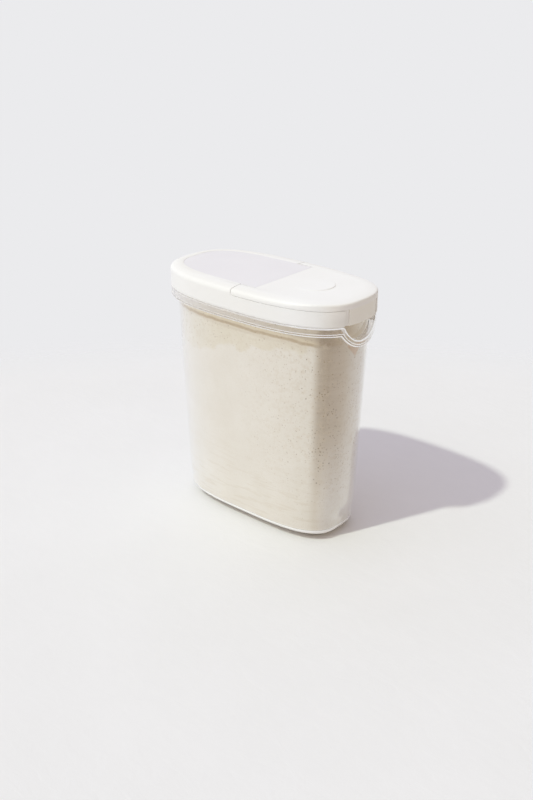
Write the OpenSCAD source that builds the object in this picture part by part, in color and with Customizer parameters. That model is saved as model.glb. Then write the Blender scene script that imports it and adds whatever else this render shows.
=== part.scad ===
// Dry-food dispenser: a clear oval tub with a white lid whose front half flips up to pour.
// Origin at the middle of the base, +Z up, +X towards the pouring end, +Y across the lid.

/* [Container] */
// Length of the tub's lower end along X
foot_len = 171; // [140:1:180]
// Width of the tub's lower end along Y
foot_w = 79; // [60:1:90]
// Squareness of the lower end's oval, 2 is an ellipse
foot_square = 3.2; // [2:0.1:4]
// Height of the rim above what the container stands on
rim_h = 205.5; // [120:0.5:300]
// Thickness of the container's wall
tub_wall = 2; // [1.5:0.1:3]
// Thickness of the container's floor
tub_floor = 2.5; // [1.5:0.1:5]
// Height of the inset base that the tub stands on
base_h = 6; // [3:0.5:10]
// How far the base stands inside the tub's lower end
base_inset = 10; // [9:0.5:13]
// Radius of the tub's lower edge
foot_round = 2.5; // [1:0.5:4]
// Radius between the floor and the wall, inside
floor_round = 4.5; // [2:0.5:8]
// How far the wall stands inside the lid's outline at the rim
tub_inset = 5.8; // [5:0.1:8]

/* [Rim flange and finger notch] */
// Height of the clear flange around the rim
flange_h = 8; // [3:0.5:9]
// How far the flange stands inside the lid's outline
flange_inset = 0.6; // [0.2:0.1:1.5]
// Radius of the finger notch
notch_r = 22.5; // [20:0.5:32]
// Depth of the finger notch below the rim
notch_drop = 15.5; // [8:0.5:18]
// Width of the band that goes around the notch
notch_band = 6; // [4:0.5:8]
// Radius that blends the notch into the flange
notch_round = 2.5; // [2:0.5:5]

/* [Lid] */
// Length of the lid along X
lid_len = 200; // [185:1:240]
// Width of the lid along Y
lid_w = 104; // [98:1:130]
// Squareness of the lid's oval, 2 is an ellipse
lid_square = 2.8; // [2.4:0.1:3.4]
// Thickness of the lid's walls
lid_wall = 2.2; // [1.6:0.1:2.8]
// Open gap between the rim and the skirt's lower edge
rim_gap = 1.5; // [0.5:0.1:3]
// Height of the skirt up to the parting line
skirt_h = 12.3; // [9:0.1:20]
// Radius of the lid's shoulder
shoulder_r = 4.5; // [3:0.1:5.5]
// Rise of the lid's top from its shoulder to its flat middle
crown_h = 1; // [0.5:0.1:1.5]
// Distance from the lid's outline to the seat rib
seat_inset = 3.6; // [3.4:0.1:5]
// Gap between the plug wall and the container's wall, at the plug's foot
plug_clear = 0.85; // [0.5:0.05:1.5]
// Depth of the plug wall below the rim
plug_drop = 6; // [5.5:0.5:12]
// Height of the pour deck's underside above the rim
deck_rise = 6.5; // [5:0.5:8]
// Thickness of the pour deck
deck_t = 2; // [1.5:0.1:3]

/* [Pour mouth] */
// Length of the mouth along X
mouth_len = 56; // [30:1:60]
// Width of the mouth along Y
mouth_w = 66; // [30:1:70]
// Distance of the mouth's centre in front of the lid's centre
mouth_x = 55; // [50:1:58]
// Squareness of the mouth's oval
mouth_square = 2.2; // [2:0.1:2.4]
// Thickness of the raised collar around the mouth
collar_t = 2; // [1.5:0.1:3]
// Thickness of the liner's plate under the flip-top
liner_t = 2.2; // [1.5:0.1:3]

/* [Hinge and flip-top] */
// Distance of the hinge axis in front of the lid's centre
hinge_x = 4.2; // [2:0.1:8]
// Radius of the arms' round rear ends
hinge_r = 4; // [3:0.1:5]
// Diameter of the hinge pins
pin_d = 1.8; // [1.4:0.1:2.4]
// Length of pin pressed into the hinge block
pin_hold = 6.6; // [4:0.1:8]
// Length of pin that runs in an arm
pin_reach = 6; // [3:0.1:6.5]
// Radial running clearance of the pins in the arms
pin_clear = 0.06; // [0.02:0.01:0.1]
// Gap along the parting line
part_gap = 0.5; // [0.3:0.1:0.8]
// Half width of the hinge block between the arms
block_half = 38.5; // [34:0.1:39]
// Distance of the block's front face in front of the lid's centre
block_x = 16.5; // [14:0.1:20]
// Width of the pull tab
tab_w = 35.4; // [24:0.2:38]
// Gap on each side of the tab
tab_gap = 3.6; // [1:0.1:4]
// Thickness of the tab
tab_t = 2.2; // [1.5:0.1:2.4]
// How far the tab hangs below the skirt's lower edge
tab_drop = 0.9; // [0:0.1:1.2]
// Diameter of the low round pad on the flip-top
pad_d = 35; // [20:1:40]
// Distance of the pad's centre in front of the lid's centre
pad_x = 49; // [38:1:52]
// Height of the pad
pad_h = 0.7; // [0.3:0.1:1.5]

/* [Label panel] */
// Distance from the lid's outline to the panel's recess
panel_inset = 14; // [13.6:0.1:18]
// Thickness of the panel
panel_t = 0.6; // [0.4:0.1:1.2]
// How far the panel lies below the lid's top
panel_drop = 0.5; // [0.2:0.1:1]

/* [Gaskets] */
// Height of the rim gasket
rim_gasket_h = 2.4; // [1.5:0.1:3]
// Height of the plug wall below the rim gasket's groove
groove_foot = 1.6; // [1:0.1:2.5]
// Depth of the rim gasket's groove in the plug wall
groove_d = 1.2; // [0.6:0.1:1.4]
// Gap between the relaxed rim gasket and the container's wall
rim_gasket_gap = 0.35; // [0.3:0.05:0.4]
// Height of the spout gasket
spout_gasket_h = 2.6; // [2:0.1:3.5]
// How far the spout gasket overlaps the collar on each side
spout_gasket_lip = 0.6; // [0.2:0.1:1]
// Gap between the relaxed spout gasket and the collar
spout_gasket_gap = 0.2; // [0.1:0.05:0.4]
// Gap between the liner's plug and the mouth
plug_gap = 1.2; // [1:0.1:2]

/* [Hidden] */
$fn = 96;

// Points around each oval, steps in each rounded edge, and overlap of joined solids
oval_steps = 72;
round_steps = 4;
crown_steps = 3;
join = 0.5;
far = 2 * (lid_len + lid_w + rim_h);

// Heights, from the rim up
skirt_z = rim_h + rim_gap;
ledge_z = skirt_z + skirt_h;
flip_z = ledge_z + part_gap;
hinge_z = flip_z + hinge_r;
pin_r = pin_d / 2;
pin_cover = 0.4;
panel_z = hinge_z + pin_r + pin_cover;
top_z = panel_z + panel_t + panel_drop;
skin_z = top_z - crown_h - lid_wall;
deck_z = rim_h + deck_rise;
deck_top = deck_z + deck_t;
liner_z = skin_z - liner_t;
spout_seal_z = liner_z - spout_gasket_h;
collar_z = spout_seal_z - spout_gasket_gap;

// Rounding of the lid's lower edge and where the crown flattens out
skirt_soft = 0.5;
flat_margin = 0.5;
flat_inset = panel_inset - flat_margin;

// How far the container's wall leans in over the depth of the plug
tub_lean = max(lid_len - foot_len, lid_w - foot_w) / 2 - tub_inset;
plug_inset = tub_inset + tub_wall + plug_clear + plug_drop * max(tub_lean, 0) / (rim_h - base_h);

// Arms, hinge block and tab
arm_half = block_half + part_gap;
arm_rear = hinge_x - hinge_r;
pocket_r = hinge_r + part_gap;
pocket_rear = hinge_x - pocket_r;
arm_bevel = 1.2;
block_core = block_half - pin_hold - lid_wall;
tab_z = skirt_z - tab_drop;
tab_inset = 0.2;
tab_play = 0.6;
reveal_inset = tab_inset + tab_t + tab_play;
notch_z = rim_h - notch_drop + notch_r;

// Gaskets and liner
groove_z = rim_h - plug_drop + groove_foot;
groove_play = 0.2;
liner_rim = 1.6;
plug_depth = 3.5;

white = [0.95, 0.95, 0.93];
clear = [0.88, 0.88, 0.85, 0.4];
grey = [0.80, 0.79, 0.81];
seal = [0.86, 0.86, 0.84];
steel = [0.70, 0.71, 0.72];

// A number raised to a power with its sign kept
function signed_pow(v, p) = sign(v) * pow(abs(v), p);

// One point of an oval at angle t, moved inwards by d along the oval's own normal
function oval_point(a, b, n, t, d) =
  let (k = pow(pow(abs(cos(t)), n) + pow(abs(sin(t)), n), -1 / n))
  let (u = k * cos(t), v = k * sin(t))
  let (g = [signed_pow(u, n - 1) / a, signed_pow(v, n - 1) / b])
  [a * u, b * v] - d * g / norm(g);

// A whole oval of points
function oval(length, width, n, d) =
  [for (i = [0 : oval_steps - 1]) oval_point(length / 2, width / 2, n, 360 * i / oval_steps, d)];

function lid_oval(d) = oval(lid_len, lid_w, lid_square, d);
function mouth_oval(d) = [for (p = oval(mouth_len, mouth_w, mouth_square, d)) p + [mouth_x, 0]];

// The container's oval at a height, drawn in by d, with no taper in the base
function tub_oval(z, d) =
  let (foot = oval(foot_len, foot_w, foot_square, d), rim = lid_oval(tub_inset + d))
  let (t = max(z - base_h, 0) / (rim_h - base_h))
  [for (i = [0 : oval_steps - 1]) foot[i] * (1 - t) + rim[i] * t];

// Rings of a rounded lower edge of radius r that starts at height z
function foot_rings(z, r, d) = [for (k = [0 : round_steps])
  let (q = 90 * k / round_steps, h = z + r * (1 - cos(q))) [tub_oval(h, d + r * (1 - sin(q))), h]];

function reversed(list) = [for (i = [len(list) - 1 : -1 : 0]) list[i]];

// Points of an arc about c
function arc(c, r, from, to) = [for (k = [0 : 2 * round_steps])
  let (q = from + (to - from) * k / (2 * round_steps)) c + r * [cos(q), sin(q)]];

// A solid through rings of points, each given as its points and its height
module loft(rings) {
  m = oval_steps;
  last = (len(rings) - 1) * m;
  points = [for (r = rings) for (p = r[0]) [p[0], p[1], r[1]]];
  sides = [for (k = [0 : len(rings) - 2]) for (i = [0 : m - 1])
    let (a = k * m + i, b = k * m + (i + 1) % m) each [[a, a + m, b + m], [a, b + m, b]]];
  ends = [[for (i = [0 : m - 1]) i], [for (i = [m - 1 : -1 : 0]) last + i]];
  polyhedron(points, concat(sides, ends));
}

// A flat outline raised from height z0 to z1
module raised(z0, z1) {
  translate([0, 0, z0]) linear_extrude(z1 - z0) children();
}

// The band between two insets of the lid's outline
module lid_band(outer, inner) {
  difference() {
    polygon(lid_oval(outer));
    polygon(lid_oval(inner));
  }
}

// The band between two insets of the mouth's outline
module mouth_band(outer, inner) {
  difference() {
    polygon(mouth_oval(outer));
    polygon(mouth_oval(inner));
  }
}

// A rectangle of the plan from x0 to x1, reaching half its width to both sides
module plan_strip(x0, x1, half) {
  translate([x0, -half]) square([x1 - x0, 2 * half]);
}

// An outline of Y and Z pushed along X
module along_x(x0, x1) {
  translate([x0, 0, 0]) rotate([90, 0, 90]) linear_extrude(x1 - x0) children();
}

// An outline of X and Z pushed along Y
module along_y(y0, y1) {
  translate([0, y1, 0]) rotate([90, 0, 0]) linear_extrude(y1 - y0) children();
}

// Both sides of the lid
module both_sides() {
  children();
  mirror([0, 1, 0]) children();
}

// A round pin or bore along Y
module round_y(r, y0, y1) {
  translate([hinge_x, y1, hinge_z]) rotate([90, 0, 0]) cylinder(r = r, h = y1 - y0);
}

// Front view of the flange: a level band that dips around the finger notch
module flange_outline() {
  band_z = rim_h - flange_h;
  outer_r = notch_r + notch_band;
  in_fillet = [sqrt(pow(notch_r + notch_round, 2) - pow(notch_z - rim_h + notch_round, 2)), rim_h - notch_round];
  out_fillet = [sqrt(pow(outer_r + notch_round, 2) - pow(notch_z - band_z + notch_round, 2)), band_z - notch_round];
  in_touch = [0, notch_z] + notch_r / (notch_r + notch_round) * (in_fillet - [0, notch_z]);
  out_touch = [0, notch_z] + outer_r / (outer_r + notch_round) * (out_fillet - [0, notch_z]);
  difference() {
    union() {
      translate([-lid_w, band_z]) square([2 * lid_w, flange_h]);
      intersection() {
        translate([0, notch_z]) circle(outer_r);
        translate([-lid_w, band_z - far]) square([2 * lid_w, far + join]);
      }
      for (s = [-1, 1]) scale([s, 1]) difference() {
        polygon([[out_fillet[0], band_z], [out_fillet[0], band_z + join],
          [out_touch[0] - join, band_z + join], out_touch]);
        translate(out_fillet) circle(notch_round);
      }
    }
    translate([0, notch_z]) circle(notch_r);
    for (s = [-1, 1]) scale([s, 1]) difference() {
      polygon([[in_fillet[0], rim_h], [in_fillet[0], rim_h + join], [0, rim_h + join], in_touch]);
      translate(in_fillet) circle(notch_round);
    }
  }
}

// Clear flange with its dip at the front, rooted in the container's wall
module rim_flange() {
  intersection() {
    raised(rim_h - notch_drop - notch_band - join, rim_h)
      lid_band(flange_inset, tub_inset + tub_wall - join);
    union() {
      along_x(0, lid_len) flange_outline();
      translate([-lid_len, -lid_w, rim_h - flange_h]) cube([lid_len + join, 2 * lid_w, far]);
    }
  }
}

module container() {
  floor_z = base_h + tub_floor;
  base = tub_oval(0, base_inset);
  well = tub_oval(0, base_inset + tub_wall);
  color(clear) union() {
    loft(concat(
      [[base, 0], [base, base_h]],
      foot_rings(base_h, foot_round, 0),
      [[tub_oval(rim_h, 0), rim_h], [tub_oval(rim_h, tub_wall), rim_h]],
      reversed(foot_rings(floor_z, floor_round, tub_wall)),
      [[well, floor_z], [well, tub_floor]]));
    rim_flange();
  }
}

// The lid as one closed block, with its rounded shoulder and low crown
module lid_block() {
  shoulder_z = top_z - crown_h - shoulder_r;
  skirt = [[lid_oval(skirt_soft), skirt_z], [lid_oval(0), skirt_z + skirt_soft]];
  shoulder = [for (k = [0 : round_steps]) let (q = 90 * k / round_steps)
    [lid_oval(shoulder_r * (1 - cos(q))), shoulder_z + shoulder_r * sin(q)]];
  crown = [for (k = [1 : crown_steps]) let (u = k / crown_steps)
    [lid_oval(shoulder_r + (flat_inset - shoulder_r) * u), top_z - crown_h * pow(1 - u, 2)]];
  loft(concat(skirt, shoulder, crown));
}

// Side view of the room around an arm of rear radius r
module arm_outline(r) {
  axis = [hinge_x, hinge_z];
  polygon(concat(arc(axis, r, 180, 270),
    [axis + [far, -r], axis + [far, far], axis + [-r, far]]));
}

// Room in the lid's block for the flip-top, above the parting line
module flip_room() {
  translate([block_x, -lid_w, ledge_z]) cube([lid_len, 2 * lid_w, far]);
  both_sides() along_y(block_half, lid_w) arm_outline(pocket_r);
}

// Plan of the hollow under the rear cap, clear of the hinge block
module rear_plan(extra) {
  plan_strip(-lid_len, pocket_rear - lid_wall + extra, lid_w);
  plan_strip(-lid_len, block_x - lid_wall + extra, block_core + extra);
}

// A rib of the lid from height z0 up into the deck in front and the cap behind
module lid_rib(inset, z0) {
  raised(z0, deck_z + join) lid_band(inset, inset + lid_wall);
  raised(deck_z, skin_z + join) intersection() {
    lid_band(inset, inset + lid_wall);
    rear_plan(join);
  }
}

module lid_frame() {
  reveal_half = tab_w / 2 + tab_gap + lid_wall;
  color(white) difference() {
    union() {
      difference() {
        lid_block();
        raised(skirt_z - join, deck_z) polygon(lid_oval(lid_wall));
        raised(deck_z - join, skin_z) intersection() {
          polygon(lid_oval(lid_wall));
          rear_plan(0);
        }
        flip_room();
        raised(deck_top, far) intersection() {
          polygon(lid_oval(lid_wall));
          plan_strip(block_x + lid_wall, lid_len, lid_w);
        }
        raised(skirt_z - join, far) difference() {
          plan_strip(0, lid_len, tab_w / 2 + tab_gap);
          polygon(lid_oval(reveal_inset + lid_wall / 2));
        }
      }
      lid_rib(seat_inset, rim_h);
      lid_rib(plug_inset, rim_h - plug_drop);
      raised(rim_h, ledge_z) intersection() {
        lid_band(reveal_inset, reveal_inset + lid_wall);
        plan_strip(0, lid_len, reveal_half);
      }
      raised(deck_z + join, collar_z) polygon(mouth_oval(-collar_t));
    }
    raised(deck_z - join, far) polygon(mouth_oval(0));
    raised(groove_z, groove_z + rim_gasket_h + groove_play)
      lid_band(plug_inset - join, plug_inset + groove_d);
    raised(panel_z, far) {
      intersection() {
        polygon(lid_oval(panel_inset));
        plan_strip(-lid_len, block_x + join, lid_w);
      }
      plan_strip(pocket_rear - join, block_x + join, block_half + join);
    }
    both_sides() round_y(pin_r, block_half - pin_hold, arm_half);
  }
}

module flip_top() {
  boss_x = hinge_x + hinge_r + lid_wall;
  color(white) difference() {
    union() {
      difference() {
        intersection() {
          lid_block();
          union() {
            translate([block_x + part_gap, -lid_w, flip_z]) cube([lid_len, 2 * lid_w, far]);
            both_sides() along_y(arm_half, lid_w) difference() {
              arm_outline(hinge_r);
              translate([arm_rear, top_z]) rotate(45) square(arm_bevel * sqrt(2), center = true);
            }
          }
        }
        for (step = [[lid_wall, flip_z + lid_wall], [shoulder_r, skin_z]])
          raised(flip_z - join, step[1]) intersection() {
            polygon(lid_oval(step[0]));
            union() {
              plan_strip(block_x + part_gap + lid_wall, lid_len, lid_w);
              difference() {
                plan_strip(boss_x, lid_len, lid_w);
                plan_strip(boss_x - join, lid_len, arm_half + lid_wall);
              }
            }
          }
      }
      raised(tab_z, flip_z + 2 * join) intersection() {
        lid_band(tab_inset, tab_inset + tab_t);
        plan_strip(0, lid_len, tab_w / 2);
      }
      translate([pad_x, 0, top_z - join])
        cylinder(r1 = pad_d / 2 + join, r2 = pad_d / 2 - pad_h, h = pad_h + join);
    }
    both_sides() round_y(pin_r + pin_clear, block_half, arm_half + pin_reach);
  }
}

module flip_liner() {
  color(white) union() {
    raised(liner_z, skin_z) polygon(mouth_oval(-collar_t - spout_gasket_lip - liner_rim));
    raised(collar_z - plug_depth, liner_z + join) mouth_band(plug_gap, plug_gap + lid_wall);
  }
}

module spout_gasket() {
  color(seal) raised(spout_seal_z, liner_z) mouth_band(-collar_t - spout_gasket_lip, spout_gasket_lip);
}

module rim_gasket() {
  gasket_z = groove_z + groove_play / 2;
  color(seal) raised(gasket_z, gasket_z + rim_gasket_h) difference() {
    polygon(tub_oval(gasket_z, tub_wall + rim_gasket_gap));
    polygon(lid_oval(plug_inset + groove_d - groove_play / 2));
  }
}

module label_panel() {
  color(grey) raised(panel_z, panel_z + panel_t) intersection() {
    polygon(lid_oval(panel_inset + groove_play));
    plan_strip(-lid_len, block_x - groove_play, lid_w);
  }
}

module hinge_pin(side) {
  color(steel) scale([1, side, 1]) round_y(pin_r, block_half - pin_hold, block_half + pin_reach);
}

module hinge_pin_left() { hinge_pin(1); }
module hinge_pin_right() { hinge_pin(-1); }

container();
lid_frame();
flip_top();
flip_liner();
spout_gasket();
rim_gasket();
label_panel();
hinge_pin_left();
hinge_pin_right();
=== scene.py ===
"""Looks of the dry-food dispenser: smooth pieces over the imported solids, their materials and the studio."""

import math

import bmesh
import bpy
import numpy as np
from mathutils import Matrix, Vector


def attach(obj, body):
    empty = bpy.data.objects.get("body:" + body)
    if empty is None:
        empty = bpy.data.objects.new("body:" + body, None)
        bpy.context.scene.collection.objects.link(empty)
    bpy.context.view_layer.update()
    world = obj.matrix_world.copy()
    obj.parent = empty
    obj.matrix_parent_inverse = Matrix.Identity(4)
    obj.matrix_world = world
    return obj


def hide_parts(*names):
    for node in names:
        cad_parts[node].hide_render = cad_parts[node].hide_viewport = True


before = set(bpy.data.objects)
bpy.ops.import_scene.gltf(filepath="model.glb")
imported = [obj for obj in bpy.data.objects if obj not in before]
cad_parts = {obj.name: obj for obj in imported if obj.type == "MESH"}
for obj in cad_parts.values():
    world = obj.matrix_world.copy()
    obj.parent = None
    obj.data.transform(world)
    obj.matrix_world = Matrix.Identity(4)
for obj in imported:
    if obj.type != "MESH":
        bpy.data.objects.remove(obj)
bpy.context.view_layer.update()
scene = bpy.context.scene
MM = 0.001

# Sizes in millimetres and angles in degrees: mostly those of the part's source, a few fitted to the real look
foot_len, foot_w, foot_square = 171, 79, 3.2
rim_h, tub_wall, tub_floor, tub_inset, tub_top_drop = 205.5, 2, 2.5, 5.8, 0.2
base_h, base_inset, foot_round, floor_skin, floor_soft = 5.2, 10, 4.9, 0.9, 4.2
tuck, tuck_h, tuck_from = 1.9, 26, 0.55
tuck_rings = [base_h + h for h in (10.5, 13, 16, 19, 22, tuck_h)]
flange_h, flange_inset, flange_soft, flange_front = 8, 0.2, 0.8, 40
lip_groove_low, lip_groove_mid, lip_groove_high, lip_groove_d, flange_mid = 1.3, 1.7, 2.1, 0.3, 0.6
notch_r, notch_drop, notch_band, notch_round = 22.5, 15.5, 6, 2.5
food_gap, food_coat, food_drop, coat_drop, food_straight, heap_h = -0.05, 0.25, 1.1, 0.6, 60, 0.7
lid_len, lid_w, lid_square, lid_wall = 200, 104, 2.8, 2.2
rim_gap, skirt_h, shoulder_r, shoulder_turn, crown_h = 1.5, 12.3, 4.5, 77.5, 1
front_r, front_from, front_to = 1.8, 45, 86
seat_inset, plug_clear, plug_drop, deck_rise, deck_t = 3.6, 0.85, 6, 6.5, 2
mouth_len, mouth_w, mouth_x, mouth_square, collar_t, liner_t = 56, 66, 55, 2.2, 2, 2.2
hinge_x, hinge_r, pin_d, pin_hold, pin_reach, pin_clear, pin_cover = 4.2, 4, 1.8, 6.6, 6, 0.06, 0.4
part_gap, block_half, block_x = 0.5, 38.5, 16.5
tab_w, tab_gap, tab_t, tab_drop, tab_room, tab_slit = 35.4, 3.6, 2.2, 0.9, 0.6, 0.12
pad_d, pad_x, pad_h, pad_cap_r = 35, 49, 0.7, 0.5
panel_inset, panel_grow, panel_grow_from, panel_grow_to = 14, 2, 20, 85
panel_t, panel_drop, panel_play, panel_low = 0.6, 0.5, 0.06, 0.15
rim_gasket_h, groove_foot, groove_d, rim_gasket_gap = 2.4, 1.6, 1.2, 0.35
spout_gasket_h, spout_gasket_lip, spout_gasket_gap, plug_gap = 2.6, 0.6, 0.2, 1.2

skirt_z = rim_h + rim_gap
ledge_z = skirt_z + skirt_h
flip_z = ledge_z + part_gap
hinge_z = flip_z + hinge_r
pin_r = pin_d / 2
panel_z = hinge_z + pin_r + pin_cover
top_z = panel_z + panel_t + panel_drop
skin_z = top_z - crown_h - lid_wall
deck_z = rim_h + deck_rise
deck_top = deck_z + deck_t
liner_z = skin_z - liner_t
spout_seal_z = liner_z - spout_gasket_h
collar_z = spout_seal_z - spout_gasket_gap
skirt_soft, edge_soft, hem_drop = 0.5, 0.3, 0.6
hem_z = skirt_z - hem_drop
seat_face, seat_lift, seat_lap = 0.9, 0.05, 0.1
flat_rim = 2
tub_lean = (lid_len - foot_len) / 2 - tub_inset
plug_inset = tub_inset + tub_wall + plug_clear + plug_drop * tub_lean / (rim_h - base_h)
arm_half = block_half + part_gap
pocket_r = hinge_r + part_gap
pocket_rear = hinge_x - pocket_r
block_core = block_half - pin_hold - lid_wall
tab_z = skirt_z - tab_drop
tab_inset = 0.2
reveal_inset, reveal_step = tab_inset + tab_t + tab_room, 0.7
notch_z = rim_h - notch_drop + notch_r
groove_z = rim_h - plug_drop + groove_foot
groove_play = 0.2
panel_top = top_z - panel_low
liner_rim = 1.6
plug_depth = 3.5
tub_top = rim_h - tub_top_drop
# How far joined pieces reach into each other, and how far in the last ring before a flat cap lies
join, cap_in, base_cap_in, liner_cap_in = 0.5, 3, 5, 4
FAR = 400

# Each side of the parting line stands this much closer than in the solids, so that it reads as a fine line
line_in = 0.13
ledge_z += line_in
flip_z -= line_in
arm_r, arm_slim = hinge_r + line_in, 0.3
pocket_r -= line_in
block_side, arm_side_y = block_half + line_in, arm_half - line_in
block_face, flip_face = block_x + line_in, block_x + part_gap - line_in

# Clean-up of finished meshes: what is merged, in millimetres, and what counts as flat, in degrees
MERGE_DIST, SLIVER_DIST, FLAT_ANGLE = 0.03, 0.01, 0.08
# The least area in square metres that shows a crossed face, and how the search for its edges widens
CROSS_AREA, EASE_ROUNDS, EASE_REACH, EASE_GROWTH = 5e-9, 14, 1.2, 1.3
# Brings a draw-in of rise * (1 - rise) ** 2 to a peak of 1
TUCK_PEAK = 27 / 4
# The most of a side that one rounded corner may use
CORNER_SHARE = 0.49
STEPS, FINE_STEPS, ARM_STEPS, PAD_STEPS, PIN_STEPS = 216, 2001, 29, 120, 48
TURN = np.linspace(0, 2 * np.pi, STEPS, endpoint=False)


# Outlines

def smooth(value, low, high):
    """0 up to low, 1 from high on, and an even blend between them."""
    share = np.clip((value - low) / (high - low), 0, 1)
    return share ** 2 * (3 - 2 * share)


def oval(length, width, n, inset, t=TURN):
    """Points of an oval, moved inwards along the oval's own normal."""
    c, s = np.cos(t), np.sin(t)
    k = (np.abs(c) ** n + np.abs(s) ** n) ** (-1 / n)
    u, v, a, b = k * c, k * s, length / 2, width / 2
    g = np.stack([np.sign(u) * np.abs(u) ** (n - 1) / a, np.sign(v) * np.abs(v) ** (n - 1) / b], 1)
    g /= np.linalg.norm(g, axis=1)[:, None]
    return np.stack([a * u, b * v], 1) - np.reshape(inset, (-1, 1)) * g


def lid_oval(d, t=TURN):
    return oval(lid_len, lid_w, lid_square, d, t)


def panel_edge(t=TURN):
    """The panel's inset from the lid's outline, which is less at the rear end."""
    return panel_inset - panel_grow * smooth(-lid_oval(0, t)[:, 0], panel_grow_from, panel_grow_to)


def mouth_oval(d):
    return oval(mouth_len, mouth_w, mouth_square, d) + [mouth_x, 0]


def tub_oval(z, d, t=TURN):
    """The tub's outline at a height, moved inwards by d, with its two ends drawn in just above the foot."""
    share = max(z - base_h, 0) / (rim_h - base_h)
    rise = min(max(z - base_h, 0) / tuck_h, 1)
    d = d + tuck * TUCK_PEAK * rise * (1 - rise) ** 2 * smooth(np.abs(np.cos(t)), tuck_from, 1)
    return oval(foot_len, foot_w, foot_square, d, t) * (1 - share) + lid_oval(tub_inset + d, t) * share


def rounded(path, radii, steps=5, closed=False):
    """A path of (inset, height) corners with each corner rounded to its radius."""
    path = [np.array(p, float) for p in path]
    if not hasattr(radii, "__len__"):
        radii = [radii] * len(path)
    out = []
    for i, p in enumerate(path):
        if not closed and i in (0, len(path) - 1) or radii[i] <= 0:
            out.append(p)
            continue
        a, b = path[i - 1] - p, path[(i + 1) % len(path)] - p
        la, lb = np.linalg.norm(a), np.linalg.norm(b)
        a, b = a / la, b / lb
        half = math.acos(np.clip(a @ b, -1, 1)) / 2
        back = min(radii[i] / math.tan(half), CORNER_SHARE * la, CORNER_SHARE * lb)
        r = back * math.tan(half)
        centre = p + (a + b) / np.linalg.norm(a + b) * (r / math.sin(half))
        p0, p1 = p + a * back - centre, p + b * back - centre
        sweep = math.pi - 2 * half
        turn = math.copysign(sweep, p0[0] * p1[1] - p0[1] * p1[0])
        for q in np.linspace(0, turn, steps + 1):
            c, s = math.cos(q), math.sin(q)
            out.append(centre + [p0[0] * c - p0[1] * s, p0[0] * s + p0[1] * c])
    return out


# Solids

def solid(name, verts, faces):
    mesh = bpy.data.meshes.new(name)
    mesh.from_pydata(np.asarray(verts, float).tolist(), [], [list(map(int, f)) for f in faces])
    bm = bmesh.new()
    bm.from_mesh(mesh)
    bmesh.ops.recalc_face_normals(bm, faces=bm.faces)
    bm.to_mesh(mesh)
    bm.free()
    ob = bpy.data.objects.new(name, mesh)
    scene.collection.objects.link(ob)
    return ob


def loft(name, rings, closed=False):
    """A solid through rings of (points, height): the last ring joins the first, or both ends are capped."""
    m = len(rings[0][0])
    verts = np.concatenate([np.column_stack([p, np.full(m, z) if np.isscalar(z) else z]) for p, z in rings])
    count = len(rings)
    faces = []
    for k in range(count if closed else count - 1):
        a, b = k * m, (k + 1) % count * m
        faces += [(a + i, a + (i + 1) % m, b + (i + 1) % m, b + i) for i in range(m)]
    if not closed:
        faces += [range(m - 1, -1, -1), range((count - 1) * m, count * m)]
    return solid(name, verts, faces)


def ring(name, path, outline):
    """A closed band that follows an outline, from its section of (inset, height)."""
    return loft(name, [(outline(d), z) for d, z in path], closed=True)


def prism(name, points, z0, z1):
    return loft(name, [(np.asarray(points, float), z0), (np.asarray(points, float), z1)])


def band(name, outline, outer, inner, z0, z1):
    return ring(name, [(outer, z0), (outer, z1), (inner, z1), (inner, z0)], outline)


def block(name, x0, x1, y0, y1, z0, z1):
    return prism(name, [(x0, y0), (x1, y0), (x1, y1), (x0, y1)], z0, z1)


def prism_y(name, points, y0, y1):
    """An outline of X and Z pushed along Y."""
    p = np.asarray(points, float)
    m = len(p)
    verts = [(x, y, z) for y in (y0, y1) for x, z in p]
    faces = [(i, (i + 1) % m, m + (i + 1) % m, m + i) for i in range(m)]
    faces += [range(m), range(2 * m - 1, m - 1, -1)]
    return solid(name, verts, faces)


def round_y(name, r, y0, y1):
    q = np.linspace(0, 2 * np.pi, PIN_STEPS, endpoint=False)
    return prism_y(name, np.stack([hinge_x + r * np.cos(q), hinge_z + r * np.sin(q)], 1), y0, y1)


def combine(ob, other, how):
    mod = ob.modifiers.new("combine", "BOOLEAN")
    mod.operation, mod.object, mod.solver = how, other, "MANIFOLD"
    shaped = bpy.data.meshes.new_from_object(ob.evaluated_get(bpy.context.evaluated_depsgraph_get()))
    ob.modifiers.clear()
    old, ob.data = ob.data, shaped
    bpy.data.meshes.remove(old)
    bpy.data.objects.remove(other)
    return ob


def cut(ob, *others):
    for o in others:
        combine(ob, o, "DIFFERENCE")
    return ob


def add(ob, *others):
    for o in others:
        combine(ob, o, "UNION")
    return ob


def both(ob, other):
    return combine(ob, other, "INTERSECT")


def crossings(mesh):
    """The places where the outline of a face crosses itself."""
    co = np.array([v.co for v in mesh.vertices])
    mesh.calc_loop_triangles()
    filled = np.zeros(len(mesh.polygons))
    for t in mesh.loop_triangles:
        filled[t.polygon_index] += t.area
    places = []
    for f in mesh.polygons:
        if abs(filled[f.index] - f.area) < CROSS_AREA:
            continue
        a = co[list(f.vertices)]
        n = np.array(f.normal)
        u = np.cross(n, np.eye(3)[np.argmin(np.abs(n))])
        q = np.stack([a @ u, a @ np.cross(n, u)], 1)
        d = np.roll(q, -1, 0) - q
        to_start = q[None] - q[:, None]
        to_end = to_start + d[None]
        start, end = (d[:, None, 0] * v[..., 1] - d[:, None, 1] * v[..., 0] for v in (to_start, to_end))
        apart = start * end < 0
        for i, j in np.argwhere(apart & apart.T):
            share = start[j, i] / (start[j, i] - end[j, i])
            places.append(a[i] + share * (a[(i + 1) % len(a)] - a[i]))
    return np.array(places)


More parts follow.
